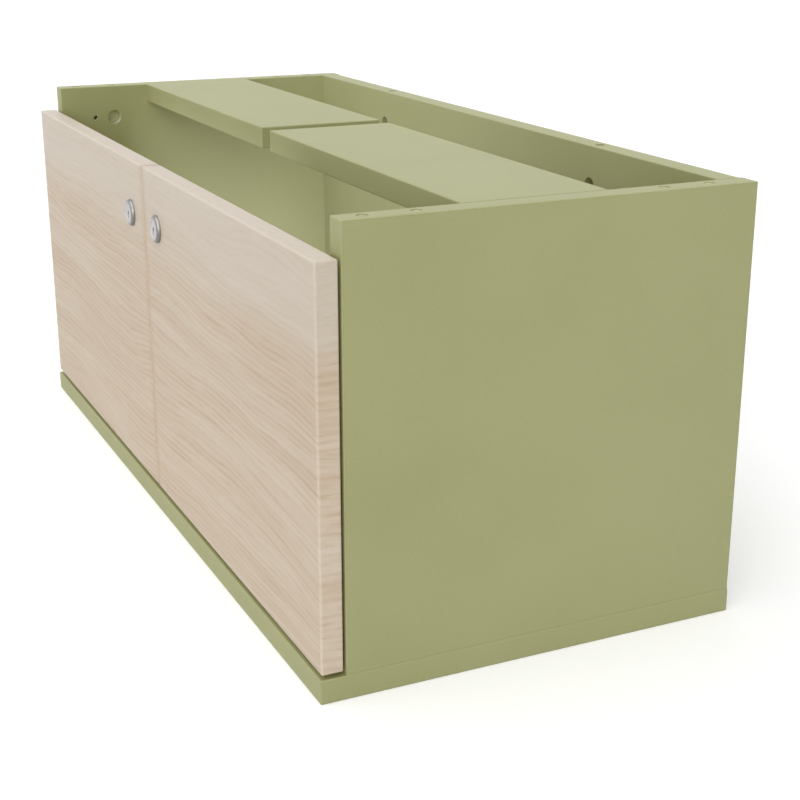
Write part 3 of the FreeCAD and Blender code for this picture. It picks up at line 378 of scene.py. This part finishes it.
def maple(name, shift, band):
    """Maple veneer with a satin lacquer: fine level fibres, growth lines a few millimetres apart that wander
    in slow waves, soft pink and grey clouds, and a warmer, darker tone within 13 mm of the meeting edges,
    painted shade of the seam between the doors. An edge band has the same wood with browner lines across its
    width, fainter on its level edges as painted light that makes the top edge paler, and a plain pale line
    where it is rounded over to the front, a painted highlight."""
    finish, tree, shader = new_finish(name, Specular_IOR_Level=0.5, Coat_Weight=0.08, Coat_Roughness=0.3)
    place = add(tree, "TexCoord").outputs["Object"]
    moved = add(tree, "Mapping", {"Vector": place, "Location": shift})

    # Growth lines wander up and down: waves of about 8 mm over 230 mm, and smaller ones of about 1 mm
    rise = 0.0
    for sizes, reach in (((230, 260, 110), 42), ((60, 30, 24), 4), ((150, 40, 7), 4)):
        laid = add(tree, "Mapping", {"Vector": moved, "Scale": scale_for(*sizes)})
        wave = add(tree, "TexNoise", {"Vector": laid, "Scale": 1.0, "Detail": 1.0}).outputs["Fac"]
        rise = add(tree, "Math", {0: wave, 1: reach * MM, 2: rise}, operation="MULTIPLY_ADD")
    lift = add(tree, "CombineXYZ", {"Z": rise})
    wavy = add(tree, "VectorMath", {0: moved, 1: lift}, operation="ADD").outputs[0]

    # Patterns that follow the waves, longest along the grain. Fibres and flecks are drawn coarser than real
    # ones, at about 1 mm, so that they show.
    patterns = {}
    for label, sizes, detail in (("tone", (240, 50, 7), 2.0), ("fibre", (60, 14, 1.2), 2.0),
                                 ("patch", (340, 90, 44), 1.0), ("stroke", (34, 14, 5), 1.0),
                                 ("fleck", (9, 5, 0.8), 0.0)):
        laid = add(tree, "Mapping", {"Vector": wavy, "Scale": scale_for(*sizes)})
        noise = add(tree, "TexNoise", {"Vector": laid, "Scale": 1.0, "Detail": detail})
        patterns[label] = noise.outputs["Fac"]

    # One line for each step of height: a sine, drawn narrower than its gap, stronger in some belts, fading in
    # and out along its length
    step = (6.6 if band else 5.6) * MM
    height = add(tree, "SeparateXYZ", {0: wavy}).outputs["Z"]
    lines = add(tree, "Math", {0: height, 1: 2 * math.pi / step}, operation="MULTIPLY")
    lines = add(tree, "Math", {0: lines}, operation="SINE")
    lines = add(tree, "MapRange", {0: lines, 1: -0.4, 2: 1.0}).outputs[0]
    depth = add(tree, "MapRange", {0: patterns["patch"], 1: 0.36, 2: 0.64, 3: 0.25, 4: 0.46}).outputs[0]
    stroke = add(tree, "MapRange", {0: patterns["stroke"], 1: 0.35, 2: 0.65, 3: 0.35, 4: 1.5}).outputs[0]
    depth = add(tree, "Math", {0: depth, 1: stroke}, operation="MULTIPLY")
    tone = add(tree, "MapRange", {0: patterns["tone"], 1: 0.35, 2: 0.65, 3: 0.0, 4: 0.5}).outputs[0]
    share = add(tree, "Math", {0: lines, 1: depth, 2: tone}, operation="MULTIPLY_ADD")

    # Paler sapwood along the top, where the lines are faint
    parts = add(tree, "SeparateXYZ", {0: place})
    ring = add(tree, "Math", {0: parts.outputs["Z"], 1: rise}, operation="ADD")
    sap = add(tree, "MapRange", {0: ring, 1: 250 * MM, 2: 310 * MM}).outputs[0]
    plain = add(tree, "MapRange", {0: sap, 3: 1.0, 4: 0.35}).outputs[0]
    share = add(tree, "Math", {0: share, 1: plain}, operation="MULTIPLY")

    # Clouds, lines, fibres and flecks over each other; on a band, the lines are fainter on level edges,
    # painted light that makes the top edge paler as if lit from above
    fibre = add(tree, "MapRange", {0: patterns["fibre"], 1: 0.35, 2: 0.65, 3: 0.0, 4: 0.18}).outputs[0]
    cloud = add(tree, "MapRange", {0: patterns["patch"], 1: 0.35, 2: 0.65}).outputs[0]
    fleck = add(tree, "MapRange", {0: patterns["fleck"], 1: 0.66, 2: 0.74, 3: 0.0, 4: 0.1}).outputs[0]
    pink, grey = ("#CFC1AF", "#CBB9A3") if band else ("#C8B9A5", "#C6B49D")
    ground = add(tree, "Mix", {0: cloud, 6: linear(pink), 7: linear(grey)}, data_type="RGBA").outputs[2]
    ground = add(tree, "Mix", {0: sap, 6: ground, 7: linear("#C8BDAD")}, data_type="RGBA").outputs[2]
    if band:
        normal = add(tree, "NewGeometry").outputs["Normal"]
        facing = add(tree, "SeparateXYZ", {0: normal}).outputs["Z"]
        level = add(tree, "Math", {0: facing}, operation="ABSOLUTE")
        level = add(tree, "MapRange", {0: level, 3: 0.75, 4: 0.2}).outputs[0]
        share = add(tree, "Math", {0: share, 1: level}, operation="MULTIPLY")
    dark = linear("#B69976" if band else "#B59A7C")
    wood = add(tree, "Mix", {0: share, 6: ground, 7: dark}, data_type="RGBA").outputs[2]
    wood = add(tree, "Mix", {0: fibre, 6: wood, 7: linear("#DACEBD")}, data_type="RGBA").outputs[2]
    wood = add(tree, "Mix", {0: fleck, 6: wood, 7: linear("#AB9072")}, data_type="RGBA").outputs[2]
    # A pale line along a band's rounding at the front: a painted highlight
    if band:
        front = add(tree, "MapRange", {0: parts.outputs["Y"], 1: (DOOR_FRONT + 1.2) * MM,
                                       2: (DOOR_FRONT + 2.2) * MM, 3: 0.3, 4: 0.0}).outputs[0]
        wood = add(tree, "Mix", {0: front, 6: wood, 7: linear("#D1C4B1")}, data_type="RGBA").outputs[2]

    # Painted shade: a warmer, darker tone within 13 mm of the meeting edges, for the shade of the seam
    # between the doors
    painted_seam_shade = add(tree, "Math", {0: parts.outputs["X"]}, operation="ABSOLUTE")
    painted_seam_shade = add(tree, "MapRange", {0: painted_seam_shade, 1: 4 * MM, 2: 13 * MM, 3: 0.3, 4: 0.0}).outputs[0]
    wood = add(tree, "Mix", {0: painted_seam_shade, 6: wood, 7: linear("#B2977A")}, data_type="RGBA").outputs[2]
    rough = add(tree, "MapRange", {0: patterns["fibre"], 1: 0.3, 2: 0.7, 3: 0.38, 4: 0.5}).outputs[0]
    bump = add(tree, "Bump", {"Height": patterns["fibre"], "Strength": 0.15, "Distance": 0.08 * MM})
    link_surface(tree, shader, wood, rough, bump)
    return finish


def plated(name, pale, dull, smooth, coarse, grain):
    """Plated or cast metal: a near-even colour that clouds a little over 6 mm, with a grain that scatters the
    gloss between a smooth and a coarse value. The grain's size in millimetres is coarser than the real one,
    so that it shows."""
    finish, tree, shader = new_finish(name, Metallic=1.0)
    place = add(tree, "TexCoord").outputs["Object"]
    cloud = add(tree, "TexNoise", {"Vector": place, "Scale": scale_for(6)[0], "Detail": 2.0}).outputs["Fac"]
    cloud = add(tree, "MapRange", {0: cloud, 1: 0.3, 2: 0.7}).outputs[0]
    fine = add(tree, "TexNoise", {"Vector": place, "Scale": scale_for(grain)[0], "Detail": 2.0})
    fine = fine.outputs["Fac"]
    colour = add(tree, "Mix", {0: cloud, 6: linear(pale), 7: linear(dull)}, data_type="RGBA").outputs[2]
    rough = add(tree, "MapRange", {0: fine, 1: 0.3, 2: 0.7, 3: smooth, 4: coarse}).outputs[0]
    bump = add(tree, "Bump", {"Height": fine, "Strength": 0.05, "Distance": 0.01 * MM})
    link_surface(tree, shader, colour, rough, bump)
    return finish


def lock_nickel():
    """Satin nickel on turned brass: cool and pale, with fine rings left by the lathe about the lock's axis,
    drawn as coarse as 0.35 mm so that they show, and darker towards the rim, painted shade for the rosette's
    shaded flank."""
    finish, tree, shader = new_finish("satin_nickel", Metallic=1.0)
    place = add(tree, "TexCoord").outputs["Object"]
    parts = add(tree, "SeparateXYZ", {0: place})
    across = add(tree, "Math", {0: parts.outputs["X"]}, operation="ABSOLUTE")
    across = add(tree, "Math", {0: across, 1: LOCK_REACH * MM}, operation="SUBTRACT")
    up = add(tree, "Math", {0: parts.outputs["Z"], 1: LOCK_HEIGHT * MM}, operation="SUBTRACT")
    arm = add(tree, "CombineXYZ", {"X": across, "Y": up})
    radius = add(tree, "VectorMath", {0: arm}, operation="LENGTH").outputs["Value"]
    rings = add(tree, "CombineXYZ", {"X": radius})
    rings = add(tree, "TexNoise", {"Vector": rings, "Scale": scale_for(0.35)[0], "Detail": 2.0})
    rings = rings.outputs["Fac"]
    cloud = add(tree, "TexNoise", {"Vector": place, "Scale": scale_for(5)[0], "Detail": 2.0}).outputs["Fac"]
    ends = {6: linear("#D5D4D3"), 7: linear("#CAC9C8")}
    colour = add(tree, "Mix", {0: cloud, **ends}, data_type="RGBA").outputs[2]
    # Painted shade: darker from 8.4 mm out to the rim, for the shaded flank of the rosette
    dull = add(tree, "MapRange", {0: radius, 1: 8.4 * MM, 2: 11 * MM, 3: 0.0, 4: 0.85}).outputs[0]
    colour = add(tree, "Mix", {0: dull, 6: colour, 7: linear("#7F7E7D")}, data_type="RGBA").outputs[2]
    rough = add(tree, "MapRange", {0: rings, 1: 0.3, 2: 0.7, 3: 0.32, 4: 0.48}).outputs[0]
    bump = add(tree, "Bump", {"Height": rings, "Strength": 0.2, "Distance": 0.04 * MM})
    link_surface(tree, shader, colour, rough, bump)
    return finish


def beech():
    """Turned beech, unfinished: warm and even, with small dark flecks of about 1.2 mm where its rays end."""
    finish, tree, shader = new_finish("raw_beech")
    place = add(tree, "TexCoord").outputs["Object"]
    fine = add(tree, "TexNoise", {"Vector": place, "Scale": scale_for(1.2)[0], "Detail": 3.0}).outputs["Fac"]
    ray = add(tree, "MapRange", {0: fine, 1: 0.55, 2: 0.7}).outputs[0]
    ends = {6: linear("#D9B78E"), 7: linear("#B88C5F")}
    colour = add(tree, "Mix", {0: ray, **ends}, data_type="RGBA").outputs[2]
    rough = add(tree, "MapRange", {0: fine, 3: 0.6, 4: 0.75}).outputs[0]
    link_surface(tree, shader, colour, rough)
    return finish


def bumper_rubber():
    """Clear polyurethane, moulded: soft and milky, with a little dust in specks of about 0.8 mm."""
    finish, tree, shader = new_finish("clear_polyurethane", IOR=1.48, Subsurface_Weight=0.3,
                                      Subsurface_Scale=1.5 * MM)
    place = add(tree, "TexCoord").outputs["Object"]
    dust = add(tree, "TexNoise", {"Vector": place, "Scale": scale_for(0.8)[0], "Detail": 2.0}).outputs["Fac"]
    ends = {6: linear("#E3E4E0"), 7: linear("#D3D2CA")}
    colour = add(tree, "Mix", {0: dust, **ends}, data_type="RGBA").outputs[2]
    rough = add(tree, "MapRange", {0: dust, 3: 0.25, 4: 0.45}).outputs[0]
    link_surface(tree, shader, colour, rough)
    return finish


# Boards, doors and metal that keep their CAD form, and the doors' edge bands

for board in ("base_panel", "left_side", "right_side", "left_top_rail", "right_top_rail",
              "centre_post"):
    wear(sage_board(board), board)
# The back panel's bores are given darker colours: painted shade
wear(sage_board("back_panel", ("#A3A477", "#AEAF84", "#95966F")), "back_panel")

steel = plated("nickel_plated_steel", "#CCCBC7", "#C2C1BE", smooth=0.27, coarse=0.34, grain=0.4)
zinc = plated("bright_zinc_plate", "#C6C8CA", "#BCBDBA", smooth=0.3, coarse=0.4, grain=0.4)
cast = plated("die_cast_zinc", "#A9AAAC", "#9C9DA0", smooth=0.42, coarse=0.56, grain=0.5)
nickel = lock_nickel()
for side, sign in SIDES.items():
    # Each door shows another place of the same grain, and its band follows it
    shift = (0.37 * sign, 0, 0.113 * sign)
    wear(maple(f"maple_veneer_{side}", shift, False), f"{side}_door")
    low, high = (np.array(corner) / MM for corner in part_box(f"{side}_door_edging"))
    fit_piece(make_piece(f"{side}_edge_band", band_rings(low, high), [(low + high) / 2], "+y", loop=True),
              f"{side}_door", "maple_edging", maple(f"maple_edge_band_{side}", shift, True),
              f"{side}_door_edging")
    wear(nickel, f"{side}_lock_plug")
    wear(zinc, f"{side}_lock_cam", f"{side}_lock_nut", f"{side}_rail_bolts")
    wear(cast, f"{side}_rail_cams")
    for level in ("upper", "lower"):
        wear(steel, *(f"{side}_{level}_hinge_{piece}" for piece in ("cup", "arm", "plate", "pin")))
wear(zinc, "lock_keeper")

# Lock housings, bumpers and hinge screws, on each door or side

cross = dict(cross_drive(arm=1.9, half=0.42), rise=1.6, sink=1.2, taper=0.7)
rubber = bumper_rubber()
for side, sign in SIDES.items():
    door = f"{side}_door"
    inward = "+x" if sign < 0 else "-x"
    lock_spot = (sign * LOCK_REACH, DOOR_FRONT, LOCK_HEIGHT)
    fit_piece(make_piece(f"{side}_lock_rosette", housing_rings(), [lock_spot], "-y", loop=True), door,
              "lock_nickel", nickel, f"{side}_lock_housing")
    spots = [(sign * BUMPER_REACH, DOOR_BACK, height) for height in BUMPER_HEIGHTS]
    fit_piece(make_piece(f"{side}_bumpers", bumper_rings(radius=3, rise=1.7), spots, "+y"), door,
              "bumper_rubber", rubber, f"{side}_door_bumpers")

    rings = screw_rings(reach=12, shank=1.7, head=3.4, pitch=1.4, **cross)
    spots = [(sign * CUP_SCREW_REACH, CUP_SCREW_SEAT, height + step)
             for height in HINGE_HEIGHTS for step in CUP_SCREW_STEPS]
    fit_piece(make_piece(f"{side}_cup_screws", rings, spots, "+y"), door,
              "zinc_screw", zinc, f"{side}_hinge_cup_screws")
    rings = screw_rings(reach=12.9, shank=2.45, head=4, pitch=2, **cross)
    spots = [(sign * PLATE_SCREW_SEAT, SYSTEM_LINE, height + step)
             for height in HINGE_HEIGHTS for step in PLATE_SCREW_STEPS]
    fit_piece(make_piece(f"{side}_plate_screws", rings, spots, inward), "carcass",
              "zinc_screw", zinc, f"{side}_hinge_plate_screws")
    rings = screw_rings(reach=7.1, shank=2.45, head=4, pitch=0.9, **cross)
    spots = [(sign * ARM_SCREW_SEAT, SYSTEM_LINE + step, height)
             for height in HINGE_HEIGHTS for step in ARM_SCREW_STEPS]
    fit_piece(make_piece(f"{side}_arm_screws", rings, spots, inward), "carcass",
              "zinc_screw", zinc, f"{side}_hinge_arm_screws")
    rings = screw_rings(reach=9, shank=1.95, head=5, pitch=0.8, **cross)
    spots = [(sign * LOCK_REACH, CAM_SCREW_SEAT, LOCK_HEIGHT)]
    fit_piece(make_piece(f"{side}_cam_screw", rings, spots, "+y"), f"{side}_lock",
              "zinc_screw", zinc, f"{side}_lock_cam_screw")

rings = screw_rings(reach=24, shank=1.7, head=3.4, pitch=1.4, **cross)
spots = [(0, y, KEEPER_SCREW_SEAT) for y in KEEPER_SCREW_LINES]
fit_piece(make_piece("keeper_pan_screws", rings, spots, "+z"), "carcass", "zinc_screw", zinc, "keeper_screws")

# Connector screws under the base and dowels in the joints

hexagon = dict(hexagon_drive(corner=2.3), rise=3.6, sink=3, taper=1)
rings = screw_rings(reach=46, shank=3.45, head=5, pitch=3, **hexagon)
places = [(x, y) for x in (-SIDE_MIDDLE, SIDE_MIDDLE) for y in BASE_SCREW_LINES]
places += [(-BACK_SCREW_REACH, BACK_MIDDLE), (BACK_SCREW_REACH, BACK_MIDDLE), (0, POST_MIDDLE)]
spots = [(x, y, BASE_SCREW_SEAT) for x, y in places]
fit_piece(make_piece("connector_screws", rings, spots, "-z"), "carcass", "zinc_screw", zinc, "base_screws")

wood = beech()
dowel = dowel_rings(DOWEL_LENGTH, radius=3.95)
places = [(x, y) for x in (-SIDE_MIDDLE, SIDE_MIDDLE) for y in BASE_DOWEL_LINES]
places += [(-BACK_DOWEL_REACH, BACK_MIDDLE), (BACK_DOWEL_REACH, BACK_MIDDLE)]
places += [(0, y) for y in POST_DOWEL_LINES]
spots = [(x, y, BASE_DOWEL_FOOT) for x, y in places]
fit_piece(make_piece("base_fluted_dowels", dowel, spots, "+z"), "carcass", "beech_dowel", wood, "base_dowels")
starts = (-SIDE_INNER - DOWEL_IN_SIDE, SIDE_INNER - (DOWEL_LENGTH - DOWEL_IN_SIDE))
spots = [(x, BACK_MIDDLE, z) for x in starts for z in BACK_DOWEL_HEIGHTS]
fit_piece(make_piece("back_fluted_dowels", dowel, spots, "+x"), "carcass", "beech_dowel", wood, "back_dowels")
spots = [(x, y, RAIL_MIDDLE) for x in starts for y in RAIL_DOWEL_LINES]
fit_piece(make_piece("rail_fluted_dowels", dowel, spots, "+x"), "carcass", "beech_dowel", wood, "rail_dowels")

# Stage, in metres: a pale floor under the base, and a white surround

reach = 30
corners = [(-reach, -reach, 0), (reach, -reach, 0), (reach, reach, 0), (-reach, reach, 0)]
floor_mesh = bpy.data.meshes.new("floor")
floor_mesh.from_pydata(corners, [], [(0, 1, 2, 3)])
floor = put_in_scene("floor", floor_mesh)
paper, tree, shader = new_finish("white_paper", Roughness=0.9, Specular_IOR_Level=0.1,
                                 Base_Color=linear("#EDEDED"), Emission_Color=linear("#FFFFFF"))
seen = add(tree, "LightPath")
glow = add(tree, "Math", {0: seen.outputs["Is Camera Ray"], 1: 0.24}, operation="MULTIPLY")
tree.links.new(glow, shader.inputs["Emission Strength"])
floor_mesh.materials.append(paper)

world = bpy.data.worlds.new("studio")
bpy.context.scene.world = world
world.use_nodes = True
tree = world.node_tree
seen = add(tree, "LightPath").outputs
shown = add(tree, "Math", {0: seen["Is Camera Ray"], 1: seen["Is Glossy Ray"]}, operation="MAXIMUM")
shown = add(tree, "Math", {0: shown, 1: seen["Is Transmission Ray"]}, operation="MAXIMUM")
soft = add(tree, "Background", {"Color": linear("#FFFFFF"), "Strength": 0.35})
white = add(tree, "Background", {"Color": linear("#FFFFFF"), "Strength": 1.0})
both = add(tree, "MixShader", {0: shown, 1: soft, 2: white})
tree.links.new(both, tree.nodes["World Output"].inputs["Surface"])

# Light: a broad lamp overhead, one low in front, and three soft fills inside the cabinet that lift its shaded
# faces, one towards the back and one towards each side

for name, strength, spread, tilt, turn in (
        ("overhead_lamp", 1.75, 70, 15, 8),
        ("front_lamp", 1.25, 45, 70, 50)):
    lamp_data = bpy.data.lights.new(name, "SUN")
    lamp_data.energy = strength
    lamp_data.angle = math.radians(spread)
    lamp = put_in_scene(name, lamp_data)
    lamp.rotation_euler = (math.radians(tilt), 0, math.radians(turn))

for name, energy, wide, tall, spread, place, turn in (
        ("back_fill", 0.57, 0.42, 0.22, 150, (-0.14, -0.1, 0.2), (90, 0, 0)),
        ("left_fill", 0.19, 0.18, 0.14, 62, (0, 0.05, 0.1), (0, 90, -3)),
        ("right_fill", 0.19, 0.18, 0.14, 62, (0, 0.05, 0.1), (0, -90, 3))):
    fill_data = bpy.data.lights.new(name, "AREA")
    fill_data.shape = "RECTANGLE"
    fill_data.energy = energy
    fill_data.color = (0.74, 0.73, 1.0)
    fill_data.size = wide
    fill_data.size_y = tall
    fill_data.spread = math.radians(spread)
    fill = put_in_scene(name, fill_data)
    fill.location = place
    fill.rotation_euler = [math.radians(angle) for angle in turn]
    fill.visible_camera = False
    fill.visible_glossy = False

camera_data = bpy.data.cameras.new("camera")
camera_data.sensor_width = 36
camera_data.lens = 66.78
camera_data.clip_start = 0.01
camera = put_in_scene("camera", camera_data)
camera.location = (1.2601, -0.51575, 0.5372)
camera.rotation_euler = (math.radians(71.455), 0, math.radians(64.854))
bpy.context.scene.camera = camera
bpy.context.scene.view_settings.view_transform = "Standard"
